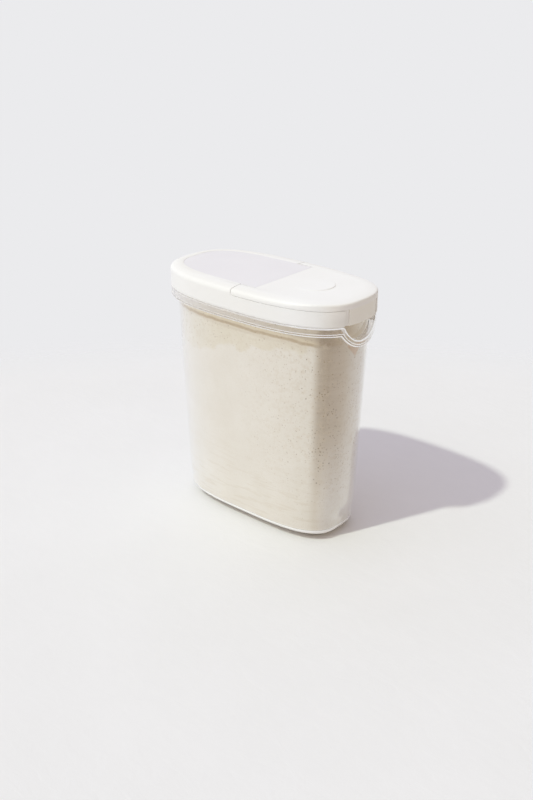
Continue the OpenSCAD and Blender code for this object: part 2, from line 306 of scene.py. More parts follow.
def ease(ob, width):
    """Leaves edges sharp that are too close to be rounded, until no face crosses itself or the rounds end."""
    edges = np.array([[ob.data.vertices[k].co for k in e.vertices] for e in ob.data.edges])
    start, along = edges[:, 0], edges[:, 1] - edges[:, 0]
    weight = ob.data.attributes["bevel_weight_edge"].data
    for n in range(EASE_ROUNDS):
        reach = width * EASE_REACH * EASE_GROWTH ** n
        shaped = bpy.data.meshes.new_from_object(ob.evaluated_get(bpy.context.evaluated_depsgraph_get()))
        places = crossings(shaped)
        bpy.data.meshes.remove(shaped)
        if not len(places):
            return
        for p in places:
            share = np.clip(((p - start) * along).sum(1) / (along ** 2).sum(1), 0, 1)
            away = np.linalg.norm(start + share[:, None] * along - p, axis=1)
            for k in np.nonzero(away < reach)[0]:
                if weight[k].value > 0:
                    weight[k].value = 0
                    ob.data.edges[int(k)].use_edge_sharp = True
        ob.data.update()


def dress(ob, name, material, body, nodes=(), soften=0.0, sharp=32):
    """Scales a finished solid to metres, rounds its outer edges, smooths it and puts it on its body."""
    ob.name = ob.data.name = name
    bm = bmesh.new()
    bm.from_mesh(ob.data)
    bmesh.ops.remove_doubles(bm, verts=bm.verts, dist=MERGE_DIST)
    bmesh.ops.dissolve_degenerate(bm, edges=bm.edges, dist=SLIVER_DIST)
    bmesh.ops.dissolve_limit(bm, angle_limit=math.radians(FLAT_ANGLE), verts=bm.verts, edges=bm.edges)
    bmesh.ops.scale(bm, vec=(MM, MM, MM), verts=bm.verts)
    if soften:
        weight = bm.edges.layers.float.new("bevel_weight_edge")
        for e in bm.edges:
            if len(e.link_faces) == 2 and e.calc_face_angle(0) > math.radians(sharp):
                if e.is_convex:
                    e[weight] = 1
                else:
                    e.smooth = False
    for f in bm.faces:
        f.smooth = True
    bm.to_mesh(ob.data)
    bm.free()
    if soften:
        mod = ob.modifiers.new("soft_edges", "BEVEL")
        mod.limit_method, mod.width, mod.segments = "WEIGHT", soften * MM, 3
        mod.use_clamp_overlap = False
        mod.loop_slide = True
        mod.miter_outer = "MITER_ARC"
        ease(ob, soften * MM)
    else:
        ob.data.set_sharp_from_angle(angle=math.radians(sharp))
    mod = ob.modifiers.new("even_shading", "WEIGHTED_NORMAL")
    mod.keep_sharp = True
    ob.data.materials.clear()
    ob.data.materials.append(material)
    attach(ob, body)
    if nodes:
        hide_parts(*nodes)
    return ob


# Materials

class Paint:
    """A material's node tree, with short names for the nodes used here."""

    def __init__(self, name):
        self.mat = bpy.data.materials.new(name)
        self.mat.use_nodes = True
        self.tree = self.mat.node_tree
        self.tree.nodes.clear()
        self.out = self.node("ShaderNodeOutputMaterial")
        self.place = self.node("ShaderNodeTexCoord").outputs["Object"]

    def node(self, kind, **values):
        n = self.tree.nodes.new(kind)
        for k, v in values.items():
            setattr(n, k, v)
        return n

    def put(self, socket, value):
        if isinstance(value, bpy.types.NodeSocket):
            self.tree.links.new(value, socket)
        else:
            socket.default_value = value

    def shader(self, **values):
        n = self.node("ShaderNodeBsdfPrincipled")
        for k, v in values.items():
            self.put(n.inputs[k.replace("_", " ")], v)
        return n

    def show(self, shader):
        self.tree.links.new(shader, self.out.inputs["Surface"])
        return self.mat

    def stretched(self, scale, turn=(0, 0, 0)):
        n = self.node("ShaderNodeMapping")
        self.put(n.inputs["Vector"], self.place)
        n.inputs["Scale"].default_value = scale
        n.inputs["Rotation"].default_value = turn
        return n.outputs["Vector"]

    def noise(self, scale, detail=2, rough=0.5, at=None, warp=0.0):
        n = self.node("ShaderNodeTexNoise")
        self.put(n.inputs["Vector"], at or self.place)
        n.inputs["Scale"].default_value = scale
        n.inputs["Detail"].default_value = detail
        n.inputs["Roughness"].default_value = rough
        n.inputs["Distortion"].default_value = warp
        return n.outputs["Fac"]

    def cells(self, scale):
        n = self.node("ShaderNodeTexVoronoi")
        self.put(n.inputs["Vector"], self.place)
        n.inputs["Scale"].default_value = scale
        return n.outputs["Distance"], n.outputs["Color"]

    def span(self, value, low, high, to_low=0.0, to_high=1.0, smooth=False):
        n = self.node("ShaderNodeMapRange", interpolation_type="SMOOTHSTEP" if smooth else "LINEAR")
        self.put(n.inputs["Value"], value)
        for k, v in (("From Min", low), ("From Max", high), ("To Min", to_low), ("To Max", to_high)):
            self.put(n.inputs[k], v)
        return n.outputs["Result"]

    def math(self, how, a, b=0.0):
        n = self.node("ShaderNodeMath", operation=how)
        self.put(n.inputs[0], a)
        self.put(n.inputs[1], b)
        return n.outputs[0]

    def mix(self, share, a, b, how="MIX"):
        n = self.node("ShaderNodeMix", data_type="RGBA", blend_type=how)
        self.put(n.inputs[0], share)
        self.put(n.inputs[6], a)
        self.put(n.inputs[7], b)
        return n.outputs[2]

    def axes(self, at=None):
        n = self.node("ShaderNodeSeparateXYZ")
        self.put(n.inputs[0], at or self.place)
        return n.outputs

    def bump(self, height, distance, strength=1.0, normal=None):
        n = self.node("ShaderNodeBump")
        self.put(n.inputs["Height"], height)
        n.inputs["Distance"].default_value = distance
        n.inputs["Strength"].default_value = strength
        if normal is not None:
            self.put(n.inputs["Normal"], normal)
        return n.outputs["Normal"]


def rgb(r, g, b):
    return (r, g, b, 1.0)


def white_plastic():
    p = Paint("white_plastic")
    cloud = p.noise(28, 3)
    grain = p.noise(2600, 2)
    colour = p.mix(p.span(cloud, 0.35, 0.65), rgb(0.916, 0.912, 0.892), rgb(0.931, 0.928, 0.911))
    x, y, z = p.axes()
    # Painted shade: darker and warmer at the pouring end under the crown, most of all low down, and on the
    # tab
    front = p.math("MULTIPLY", p.span(x, 0.080, 0.093, smooth=True), p.span(z, 0.2256, 0.2238))
    front_shade_tone = p.mix(p.span(z, 0.217, 0.211), rgb(0.930, 0.902, 0.856), rgb(0.875, 0.850, 0.800))
    tab = p.span(p.math("ABSOLUTE", y), 0.0183, 0.0177)
    front_shade_tone = p.mix(p.math("MULTIPLY", tab, p.span(z, 0.2204, 0.2190)), front_shade_tone, rgb(0.930, 0.895, 0.815))
    # Painted shade: a little darker on the shoulder and rear
    side = p.math("MAXIMUM", p.span(z, 0.2264, 0.2254), p.span(x, -0.02, -0.06))
    side = p.math("MULTIPLY", side, p.span(x, 0.06, 0.02))
    colour = p.mix(side, colour, rgb(0.975, 0.968, 0.945), "MULTIPLY")
    colour = p.mix(front, colour, front_shade_tone)
    rough = p.span(p.noise(420, 3), 0.3, 0.7, 0.36, 0.46)
    wave = p.bump(p.noise(55, 1), 0.00006, 0.5)
    s = p.shader(Base_Color=colour, Roughness=rough, Normal=p.bump(grain, 0.000012, 0.6, wave), IOR=1.48)
    return p.show(s.outputs[0])


def grey_panel():
    p = Paint("grey_panel")
    grain = p.noise(3200, 3, 0.6)
    cloud = p.noise(22, 3)
    colour = p.mix(p.span(cloud, 0.35, 0.65), rgb(0.830, 0.814, 0.832), rgb(0.850, 0.835, 0.850))
    colour = p.mix(p.span(grain, 0.35, 0.7, 0.0, 0.25), colour, rgb(0.800, 0.784, 0.804))
    rough = p.span(p.noise(300, 3), 0.3, 0.7, 0.52, 0.62)
    s = p.shader(Base_Color=colour, Roughness=rough, Normal=p.bump(grain, 0.00002, 0.7), IOR=1.46)
    return p.show(s.outputs[0])


def silicone():
    p = Paint("silicone")
    colour = p.mix(p.span(p.noise(60, 3), 0.35, 0.65), rgb(0.80, 0.80, 0.78), rgb(0.85, 0.85, 0.83))
    rough = p.span(p.noise(500, 2), 0.3, 0.7, 0.5, 0.62)
    s = p.shader(Base_Color=colour, Roughness=rough, Normal=p.bump(p.noise(1800, 2), 0.00002, 0.5), IOR=1.41)
    return p.show(s.outputs[0])


def pin_steel():
    p = Paint("pin_steel")
    lines = p.noise(900, 3, at=p.stretched((6, 0.4, 6)))
    colour = p.mix(p.span(lines, 0.3, 0.7), rgb(0.58, 0.585, 0.59), rgb(0.68, 0.685, 0.69))
    rough = p.span(lines, 0.3, 0.7, 0.24, 0.38)
    s = p.shader(Base_Color=colour, Metallic=1.0, Roughness=rough, Normal=p.bump(lines, 0.00001, 0.4))
    return p.show(s.outputs[0])


def clear_plastic():
    """Clear gloss moulding, a little hazy in the flange, with painted highlights and painted shade along the
    moulded edges.

    Light of lamps and bounces goes through it to what it holds, less so at the flange's lower lip
    and at the foot.
    """
    p = Paint("clear_plastic")
    x, y, z = p.axes()
    down = p.math("SUBTRACT", z, notch_z * MM)
    r = p.math("SQRT", p.math("ADD", p.math("MULTIPLY", y, y), p.math("MULTIPLY", down, down)))
    r = p.math("ADD", r, p.span(x, 0.080, 0.070))
    low = p.math("MAXIMUM", p.math("SUBTRACT", z, (rim_h - flange_h) * MM),
                 p.math("SUBTRACT", (notch_r + notch_band) * MM, r))
    high = p.math("MINIMUM", p.math("SUBTRACT", rim_h * MM, z), p.math("SUBTRACT", r, notch_r * MM))

    def strip(value, start, end, soft=0.25):
        rise = p.span(value, (start - soft) * MM, (start + soft) * MM)
        return p.math("MULTIPLY", rise, p.span(value, (end + soft) * MM, (end - soft) * MM))

    def share_of(value, half):
        return p.math("POWER", p.math("DIVIDE", p.math("ABSOLUTE", value), half * MM), lid_square)

    outward = p.math("ADD", share_of(x, lid_len / 2), share_of(y, lid_w / 2))
    outer = p.span(outward, 0.955, 0.975)
    haze = p.math("MULTIPLY", p.span(low, -0.0002, 0.0002), p.span(high, -0.0004, 0.0))
    # Painted highlights: mirror strips along the flange's edges, round the notch too, where clear edges bend
    # light into bright lines; weaker towards the rear
    edge = p.math("MAXIMUM", strip(low, 0.2, 1.2), strip(low, 2.2, 2.9))
    edge = p.math("MAXIMUM", edge, strip(high, -0.2, 1.2))
    edge = p.math("MULTIPLY", edge, p.math("MULTIPLY", haze, outer))
    edge = p.math("MULTIPLY", edge, p.span(x, -0.03, 0.075, 0.30, 0.88))
    cut_face = p.math("MULTIPLY", strip(high, -0.3, 0.3, 0.1), p.span(outer, 0, 1, 1.0, 0.0))
    ripple = p.span(p.math("SINE", p.math("MULTIPLY", outward, 118.0)), -0.4, 0.6)
    # Painted highlight: a white strip on the rounded edge above the foot, where the clear edge shows a bright
    # line
    rolled_highlight = strip(z, base_h + 0.35, base_h + 5.1, 0.3)
    # Painted shade: the groove in the flange's lower lip is darkened
    groove = p.math("MULTIPLY", strip(low, 1.45, 2.0), haze)
    milky = p.math("MULTIPLY", haze, p.span(x, -0.06, 0.08, 0.42, 0.06))
    milky = p.math("MAXIMUM", milky, p.math("MULTIPLY", rolled_highlight, 0.95))
    # Painted light: the notch's cut face is whitened, most on its near side and at its top, for the bright
    # light the clear edge shows there
    milky = p.math("MAXIMUM", milky, p.math("MULTIPLY", cut_face, p.span(y, -0.001, 0.011, 0.96, 0.40)))
    milky = p.math("MAXIMUM", milky, p.math("MULTIPLY", cut_face, p.span(z, 0.1990, 0.2012, 0.0, 0.85)))
    wave = p.noise(38, 1)
    rough = p.span(p.noise(240, 3), 0.3, 0.7, 0.015, 0.045)
    colour = p.mix(p.span(wave, 0.3, 0.7), rgb(0.975, 0.975, 0.965), rgb(0.99, 0.99, 0.985))
    # Painted shade in the lip's groove
    colour = p.mix(p.math("MULTIPLY", groove, 0.75), colour, rgb(0.50, 0.43, 0.34))
    # Painted shade: darker beige stripes across the cut face, between the bright ones
    cut_face_shade = p.math("MULTIPLY", cut_face, p.span(ripple, 0, 1, 1.0, 0.0))
    colour = p.mix(p.math("MULTIPLY", cut_face_shade, 0.6), colour, rgb(0.84, 0.80, 0.74))
    rear_end = p.math("MULTIPLY", haze, p.span(x, -0.070, -0.090))
    colour = p.mix(rear_end, colour, rgb(0.83, 0.79, 0.76))
    clear = p.span(milky, 0, 1, 1.0, 0.0)
    s = p.shader(Base_Color=colour, Roughness=rough, Transmission_Weight=clear, IOR=1.1, Metallic=edge,
                 Coat_Weight=1.0, Coat_Roughness=0.03, Coat_IOR=1.5, Normal=p.bump(wave, 0.00008, 0.4))
    path = p.node("ShaderNodeLightPath")
    foot = p.span(z, (base_h + 1.8) * MM, (base_h + 0.4) * MM)
    under = p.span(z, (base_h + 4.6) * MM, (base_h + 3.4) * MM)
    lip = p.math("MULTIPLY", strip(low, -0.2, 2.4), haze)
    lamp = p.mix(haze, rgb(0.985, 0.985, 0.98), rgb(0.96, 0.945, 0.915))
    lamp = p.mix(lip, lamp, rgb(0.76, 0.72, 0.64))
    lamp = p.mix(under, lamp, rgb(0.14, 0.12, 0.09))
    bounce = p.mix(foot, rgb(0.985, 0.985, 0.98), rgb(0.96, 0.94, 0.90))
    gloss = p.node("ShaderNodeBsdfGlossy")
    gloss.inputs["Color"].default_value = rgb(0.97, 0.97, 0.965)
    gloss.inputs["Roughness"].default_value = 0.06
    rim = p.node("ShaderNodeMixShader")
    facing = p.node("ShaderNodeLayerWeight").outputs["Facing"]
    fade = p.span(facing, 0.36, 0.93, 0.0, 0.85, smooth=True)
    p.put(rim.inputs[0], p.math("MULTIPLY", fade, p.span(rear_end, 0, 1, 1.0, 0.1)))
    p.put(rim.inputs[1], s.outputs[0])
    p.put(rim.inputs[2], gloss.outputs[0])
    last = rim.outputs[0]
    for ray, tint in (("Is Shadow Ray", lamp), ("Is Diffuse Ray", bounce)):
        through = p.node("ShaderNodeBsdfTransparent")
        p.put(through.inputs["Color"], tint)
        m = p.node("ShaderNodeMixShader")
        p.put(m.inputs[0], path.outputs[ray])
        p.put(m.inputs[1], last)
        p.put(m.inputs[2], through.outputs[0])
        last = m.outputs[0]
    return p.show(last)


def dry_food():
    """Pale floury food: yellower near the top and faintly layered low down, with painted shade making it
    darker and browner at the pouring end, and a painted shadow under the flange.
    """
    p = Paint("dry_food")
    x, y, z = p.axes()
    cloud = p.span(p.noise(45, 4, 0.6), 0.3, 0.7)
    low = p.mix(cloud, rgb(0.807, 0.776, 0.713), rgb(0.840, 0.815, 0.762))
    high = p.mix(cloud, rgb(0.764, 0.718, 0.605), rgb(0.802, 0.761, 0.664))
    tide = p.math("SUBTRACT", z, p.math("MULTIPLY", x, 0.2))
    tide = p.math("ADD", tide, p.span(p.noise(60, 3, 0.55), 0.2, 0.8, -0.007, 0.007))
    top = p.span(tide, 0.167, 0.172, smooth=True)
    colour = p.mix(p.math("MULTIPLY", top, p.span(x, -0.075, -0.02, 0.30, 1.0)), low, high)
    colour = p.mix(p.span(x, -0.07, -0.02, smooth=True), colour, rgb(0.985, 0.965, 0.935), "MULTIPLY")

    layers = p.noise(26, 3, 0.5, at=p.stretched((1, 1, 9), (0, 0.07, 0)), warp=0.4)
    deep = p.span(z, 0.085, 0.030)
    line = p.math("MULTIPLY", p.span(layers, 0.52, 0.60, smooth=True),
                  p.span(layers, 0.68, 0.60, smooth=True))
    colour = p.mix(p.math("MULTIPLY", p.math("MULTIPLY", line, deep), 0.6), colour, rgb(0.74, 0.68, 0.58))

    # Along the tub as a share of its half length at each height, from 0 in the middle to 1 at the pouring end
    reach = p.math("ADD", p.math("MULTIPLY", z, 0.0436), 0.0832)
    along = p.math("DIVIDE", x, reach)
    # Painted shade: darker and browner at the pouring end on the near side, more so higher up, where the food
    # turns away from the sun; darker streaks lie over the same area
    up = p.span(z, 0.02, 0.17, 0.25, 1.0)
    end = p.math("MULTIPLY", p.span(along, 0.80, 0.92, smooth=True), up)
    end = p.math("MULTIPLY", end, p.span(y, 0.012, -0.020, smooth=True))
    colour = p.mix(p.math("MULTIPLY", end, 0.85), colour, rgb(0.740, 0.655, 0.535))
    streak = p.noise(70, 4, 0.6, at=p.stretched((0.6, 0.6, 4)))
    streaked = p.math("MULTIPLY", end, p.span(streak, 0.42, 0.70, 0.0, 0.40))
    colour = p.mix(streaked, colour, rgb(0.62, 0.52, 0.39))
    # Painted shade: darker and greyer round the near corner of the pouring end
    corner = p.math("MULTIPLY", p.span(along, 0.80, 0.885, smooth=True), p.span(along, 1.0, 0.93, 0.15, 1.0))
    corner = p.math("MULTIPLY", corner, p.span(y, 0.010, -0.012, smooth=True))
    corner = p.math("MULTIPLY", corner, p.span(z, 0.03, 0.12, 0.12, 1.0))
    colour = p.mix(corner, colour, rgb(0.68, 0.64, 0.60), "MULTIPLY")
    # Painted reflection: paler towards the far side of the pouring end and low at its tip, for the glare of
    # the clear wall there
    far = p.math("MULTIPLY", p.span(along, 0.80, 0.95), p.span(y, -0.004, 0.024, smooth=True))
    far = p.math("MAXIMUM", far, p.math("MULTIPLY", p.span(along, 0.88, 0.98), p.span(z, 0.11, 0.03)))
    colour = p.mix(p.math("MULTIPLY", far, 0.75), colour, rgb(0.93, 0.92, 0.90))

    # Painted shadow: a browned line under the flange where the shadow of its lower lip falls, painted shade
    # on the strip above that line, and a painted shadow under the notch in front
    lip_shadow_level = p.math("ADD", p.math("SUBTRACT", z, 0.1903), p.span(x, 0.055, 0.085, 0.0, 0.004))
    lip_shadow_level = p.math("ADD", lip_shadow_level, p.span(p.noise(120, 2), 0.2, 0.8, -0.0007, 0.0007))
    above = p.span(lip_shadow_level, 0.0, 0.002, smooth=True)
    colour = p.mix(above, colour, rgb(0.93, 0.89, 0.82), "MULTIPLY")
    lip_shadow = p.span(p.math("ABSOLUTE", lip_shadow_level), 0.0021, 0.0004, smooth=True)
    lip_shadow = p.math("MULTIPLY", lip_shadow, p.span(along, 0.88, 0.80))
    colour = p.mix(lip_shadow, colour, rgb(0.68, 0.59, 0.49), "MULTIPLY")
    half = p.span(z, 0.172, 0.184, 0.0, 0.0115)
    notch_shadow = p.span(p.math("ABSOLUTE", p.math("SUBTRACT", y, 0.001)), half, p.math("SUBTRACT", half, 0.002))
    notch_shadow = p.math("MULTIPLY", notch_shadow, p.math("MULTIPLY", p.span(z, 0.1865, 0.1850), p.span(x, 0.080, 0.085)))
    colour = p.mix(p.math("MULTIPLY", notch_shadow, 0.9), colour, rgb(0.88, 0.70, 0.56), "MULTIPLY")

    grain = p.noise(1300, 3, 0.6)
    colour = p.mix(p.span(grain, 0.45, 0.75, 0.0, 0.30), colour, rgb(0.70, 0.62, 0.50))
    mottle = p.noise(260, 3, 0.6)
    crowd = p.math("MAXIMUM", p.span(top, 0, 1, 0.06, 0.75), p.span(x, -0.010, 0.080, 0.04, 1.0))
    crowd = p.math("MULTIPLY", crowd, p.span(z, 0.03, 0.10, 0.3, 1.0))
    mottled = p.math("MULTIPLY", crowd, p.span(mottle, 0.50, 0.68, 0.0, 0.45))
    colour = p.mix(mottled, colour, rgb(0.66, 0.57, 0.44))
    for scale, size, share, tone, depth in ((230, 0.17, 0.55, rgb(0.30, 0.20, 0.11), 0.75),
                                            (380, 0.24, 0.45, rgb(0.40, 0.29, 0.18), 0.60)):
        near, pick = p.cells(scale)
        chosen = p.math("GREATER_THAN", p.axes(pick)[0], share)
        dot = p.span(near, size, size * 0.4, smooth=True)
        dot = p.math("MULTIPLY", p.math("MULTIPLY", dot, chosen), p.math("MULTIPLY", crowd, depth))
        colour = p.mix(dot, colour, tone)
    # Looser bran gathers in clumps by the corner of the pouring end
    clump = p.span(p.noise(85, 3, 0.6), 0.46, 0.58, smooth=True)
    for limit in (p.span(along, 0.80, 0.88), p.span(along, 1.02, 0.95),
                  p.span(z, 0.035, 0.06), p.span(z, 0.165, 0.145)):
        clump = p.math("MULTIPLY", clump, limit)
    near, pick = p.cells(420)
    chosen = p.math("GREATER_THAN", p.axes(pick)[1], 0.3)
    flake = p.math("MULTIPLY", p.span(near, 0.38, 0.16, smooth=True), chosen)
    colour = p.mix(p.math("MULTIPLY", p.math("MULTIPLY", flake, clump), 0.75), colour, rgb(0.27, 0.19, 0.12))
    s = p.shader(Base_Color=colour, Roughness=0.92, Specular_IOR_Level=0.2, Normal=p.bump(grain, 0.0002, 0.6))
    return p.show(s.outputs[0])


WHITE, GREY, CLEAR, FOOD, SEAL, STEEL = (
    white_plastic(), grey_panel(), clear_plastic(), dry_food(), silicone(), pin_steel())


# Container with its flange and finger notch

def tub():
    floor_z, well = base_h + floor_skin, base_inset + tub_wall
    outside = [(base_inset + base_cap_in, 0), (base_inset, 0), (base_inset, base_h), (0, base_h)]
    outside += [(0, z) for z in tuck_rings + [tub_top]]
    inside = [(tub_wall, z) for z in [tub_top] + tuck_rings[::-1] + [floor_z]]
    inside += [(well, floor_z), (well, tub_floor), (well + base_cap_in, tub_floor)]
    plain = [0] * len(tuck_rings)
    radii = [0, 0.8, 1, foot_round, *plain, 0.5, 0.5, *plain, floor_soft, 1.2, 1, 0]
    path = rounded(outside + inside, radii, 8)
    return loft("tub", [(tub_oval(z, d), z) for d, z in path])


def x_at(y, d):
    """X of the lid's front outline, drawn in by d, at a given Y."""
    t = np.linspace(-np.pi / 2, np.pi / 2, FINE_STEPS)
    p = lid_oval(d, t)
    return np.interp(y, p[:, 1], p[:, 0])


def t_at(y, d):
    t = np.linspace(0, np.pi / 2, FINE_STEPS)
    return np.interp(y, lid_oval(d, t)[:, 1], t)


def flange():
    """The clear band under the lid, swept along the rim and down around the notch."""
    centre = np.array([0, notch_z])
    edges = []
    for r, z in ((notch_r, rim_h), (notch_r + notch_band, rim_h - flange_h)):
        across = math.sqrt((r + notch_round) ** 2 - (notch_z - z + notch_round) ** 2)
        side = np.array([across, z - notch_round])
        arc_end = math.atan2(side[0], notch_z - side[1])
        dip = [centre + r * np.array([math.sin(q), -math.cos(q)]) for q in np.linspace(0, arc_end, 28)]
        start = math.atan2(*(centre - side)[::-1])
        blend = [side + notch_round * np.array([math.cos(q), math.sin(q)])
                 for q in np.linspace(start, math.pi / 2, 10)][1:]
        level = [np.array([y, z]) for y in np.linspace(side[0], flange_front, 6)][1:]
        edges.append(np.array(dip + blend + level))
    top, low = edges
    r, d_in, d_out = flange_soft, tub_inset + tub_wall - join, flange_inset
    soft = np.linspace(0, np.pi / 2, 6)
    section = [(d_in, 0, 0)] + [(d_out + r - r * math.sin(q), 0, r - r * math.cos(q)) for q in soft]
    section += [(d_out, 0, lip_groove_low), (d_out + lip_groove_d, 0, lip_groove_mid)]
    section += [(d_out, 0, lip_groove_high), (d_out, flange_mid, 0)]
    section += [(d_out + r - r * math.cos(q), 1, r * math.sin(q) - r) for q in soft] + [(d_in, 1, 0)]
    around = np.linspace(0, 1, 80)[1:]
    rings = []
    for d, share, off in section:
        reach = top - low
        size = np.linalg.norm(reach, axis=1)[:, None]
        yz = low + reach * (share + off / size)
        front = np.column_stack([x_at(yz[:, 0], d), yz])
        first = t_at(flange_front, d)
        plan = lid_oval(d, first + around * (np.pi - first))
        rest = np.column_stack([plan, np.full(len(plan), yz[-1, 1])])
        half = np.concatenate([front, rest])
        other = half[1:-1][::-1] * [1, -1, 1]
        whole = np.concatenate([half, other])
        rings.append((whole[:, :2], whole[:, 2]))
    return loft("flange", rings, closed=True)


container = add(tub(), flange())
dress(container, "clear_tub", CLEAR, "container", ["container"])


def contents():
    """The dry food: it fills the tub to the lid's plug, and a thin coat clings to the wall up to the rim."""
    d, well, low = tub_wall + food_gap, base_inset + tub_wall + food_gap, tub_floor + food_gap
    fill_z, coat_z = rim_h - plug_drop - food_drop, rim_h - coat_drop
    floor_z = base_h + floor_skin + food_gap
    corners = [(well + base_cap_in, low), (well, low), (well, floor_z), (d, floor_z)]
    corners += [(d, z) for z in tuck_rings + [food_straight]]
    path = rounded(corners, [0, 1, 1.2, floor_soft] + [0] * (len(tuck_rings) + 1), 6)
    rings = [(tub_oval(z, i), z) for i, z in path]
    rings += [(tub_oval(z, d), z) for z in np.linspace(food_straight, coat_z, 24)[1:]]
    rings += [(tub_oval(z, d + food_coat), z) for z in np.linspace(coat_z, fill_z, 4)]
    edge = tub_oval(fill_z, d + food_coat)
    for share in np.linspace(0, 1, 26)[1:-1]:
        plan = edge * (1 - share)
        x, y = plan.T
        lumps = 0.5 * np.sin(x / 7.3 + 1.1) * np.cos(y / 5.9)
        lumps += 0.35 * np.sin(x / 3.1 - y / 4.3) + 0.3 * np.cos(x / 17 + y / 11)
        heap = math.sin(share * 1.4) + lumps * min(1, share * 4)
        rings.append((plan, fill_z + heap_h * heap))
    return loft("contents", rings)


dress(contents(), "dry_contents", FOOD, "container", sharp=60)


# Lid

def lid_block(name):
    """The lid's outer form: its skirt, a shoulder that tightens towards the pouring end, and a low crown."""
    turn = math.radians(shoulder_turn)
    r = shoulder_r - (shoulder_r - front_r) * smooth(lid_oval(0)[:, 0], front_from, front_to)
    rings = [(lid_oval(skirt_soft * (1 - math.sin(q))), hem_z + skirt_soft * (1 - math.cos(q)))
             for q in np.linspace(0, math.pi / 2, 4)]
    rings += [(lid_oval(r * (1 - math.cos(q))), top_z - crown_h - r * (1 - math.sin(q)))
              for q in np.linspace(0, turn, 12)]
    d1, rise = r * (1 - math.cos(turn)), crown_h + r * (1 - math.sin(turn))
    d2 = panel_edge() - flat_rim
    rings += [(lid_oval(d1 + (d2 - d1) * u), top_z - rise * (1 - u) ** 2) for u in np.linspace(0, 1, 10)[1:]]
    return loft(name, rings)


def arm_side(r, slim=0.0):
    """A hinge arm's side in X and Z: round about the hinge from the lid's top down, and open to the front."""
    q = np.linspace(math.pi - math.asin((top_z - hinge_z) / r), 1.5 * math.pi, ARM_STEPS)
    arc = np.stack([hinge_x + (r - slim) * np.cos(q), hinge_z + r * np.sin(q)], 1).tolist()
    return arc + [(FAR, hinge_z - r), (FAR, FAR), (arc[0][0], FAR)]


def sides(make):
    """The same solid on both sides of the lid."""
    return [make(1), make(-1)]


def span_y(side, y0, y1):
    return (y0, y1) if side > 0 else (-y1, -y0)


def rear_room(extra):
    """The room behind the hinge arms and in the hinge block, larger by extra on its front faces and sides."""
    side = block_core + extra
    return add(block("rear", -lid_len, pocket_rear - lid_wall + extra, -lid_w, lid_w, 0, FAR),
               block("rear2", -lid_len, block_x - lid_wall + extra, -side, side, 0, FAR))


def lid_rib(inset, z0):
    low = band("rib", lid_oval, inset, inset + lid_wall, z0, deck_z + join)
    high = both(band("rib2", lid_oval, inset, inset + lid_wall, deck_z, skin_z + join), rear_room(join))
    return add(low, high)


def lid_frame():
    """The lid's moulding, hollow inside, with ribs, deck, pour collar, arm pockets and the tab's cut-out."""
    reveal_half = tab_w / 2 + tab_gap
    groove_top = groove_z + rim_gasket_h + groove_play
    block_reach = block_half + join

    def beside_tab(side):
        wall = band("r", lid_oval, reveal_step, reveal_inset + join, hem_z, ledge_z)
        y0, y1 = span_y(side, tab_w / 2 + tab_slit, reveal_half + join)
        return both(wall, block("b", 0, lid_len, y0, y1, 0, FAR))

    body = lid_block("lid")
    cut(body, prism("c", lid_oval(lid_wall), hem_z - join, deck_z))
    cut(body, both(prism("c", lid_oval(lid_wall), deck_z - join, skin_z), rear_room(0)))
    add(body, band("fill", lid_oval, seat_face, seat_inset + seat_lap, rim_h + seat_lift, deck_z + join))
    cut(body, block("c", block_face, lid_len, -lid_w, lid_w, ledge_z, FAR))
    cut(body, *sides(lambda s: prism_y("c", arm_side(pocket_r), *span_y(s, block_side, lid_w))))
    cut(body, both(prism("c", lid_oval(lid_wall), deck_top, FAR),
                   block("b", block_x + lid_wall, lid_len, -lid_w, lid_w, 0, FAR)))
    cut(body, cut(block("c", 0, lid_len, -reveal_half, reveal_half, rim_h - join, FAR),
                  prism("b", lid_oval(reveal_inset + lid_wall / 2), 0, FAR)))
    add(body, lid_rib(seat_inset, rim_h), lid_rib(plug_inset, rim_h - plug_drop))
    add(body, both(band("r", lid_oval, reveal_inset, reveal_inset + lid_wall, rim_h, ledge_z),
                   block("b", 0, lid_len, -reveal_half - lid_wall, reveal_half + lid_wall, 0, FAR)))
    add(body, *sides(beside_tab))
    add(body, prism("collar", mouth_oval(-collar_t), deck_z + join, collar_z))
    cut(body, prism("c", mouth_oval(0), deck_z - join, FAR))
    cut(body, band("c", lid_oval, plug_inset - join, plug_inset + groove_d, groove_z, groove_top))
    cut(body, both(prism("c", lid_oval(panel_edge()), panel_z, FAR),
                   block("b", -lid_len, block_x + join, -lid_w, lid_w, 0, FAR)))
    cut(body, block("c", pocket_rear - join, block_x + join, -block_reach, block_reach, panel_z, FAR))
    return cut(body, *sides(lambda s: round_y("c", pin_r, *span_y(s, block_half - pin_hold, arm_half))))


dress(lid_frame(), "lid_shell", WHITE, "lid", ["lid_frame"], soften=edge_soft)


def panel():
    """The thin D-shaped panel: the lid's oval drawn in and cut straight across at the hinge block's front."""
    def outline(d):
        t = np.linspace(0, np.pi, FINE_STEPS)
        play, limit = panel_play + d, block_x - panel_play - d
        start = np.interp(-limit, -lid_oval(panel_edge(t) + play, t)[:, 0], t)
        t = np.linspace(start, 2 * np.pi - start, 160)
        curve = lid_oval(panel_edge(t) + play, t)
        across = np.linspace(curve[-1], curve[0], 12)[1:-1]
        return np.concatenate([curve, across])
    corners = [(cap_in, panel_z), (0, panel_z), (0, panel_top), (cap_in, panel_top)]
    path = rounded(corners, [0, 0.1, 0.2, 0], 4)
    return loft("panel", [(outline(d), z) for d, z in path])


dress(panel(), "grey_label_panel", GREY, "lid", ["label_panel"], sharp=60)


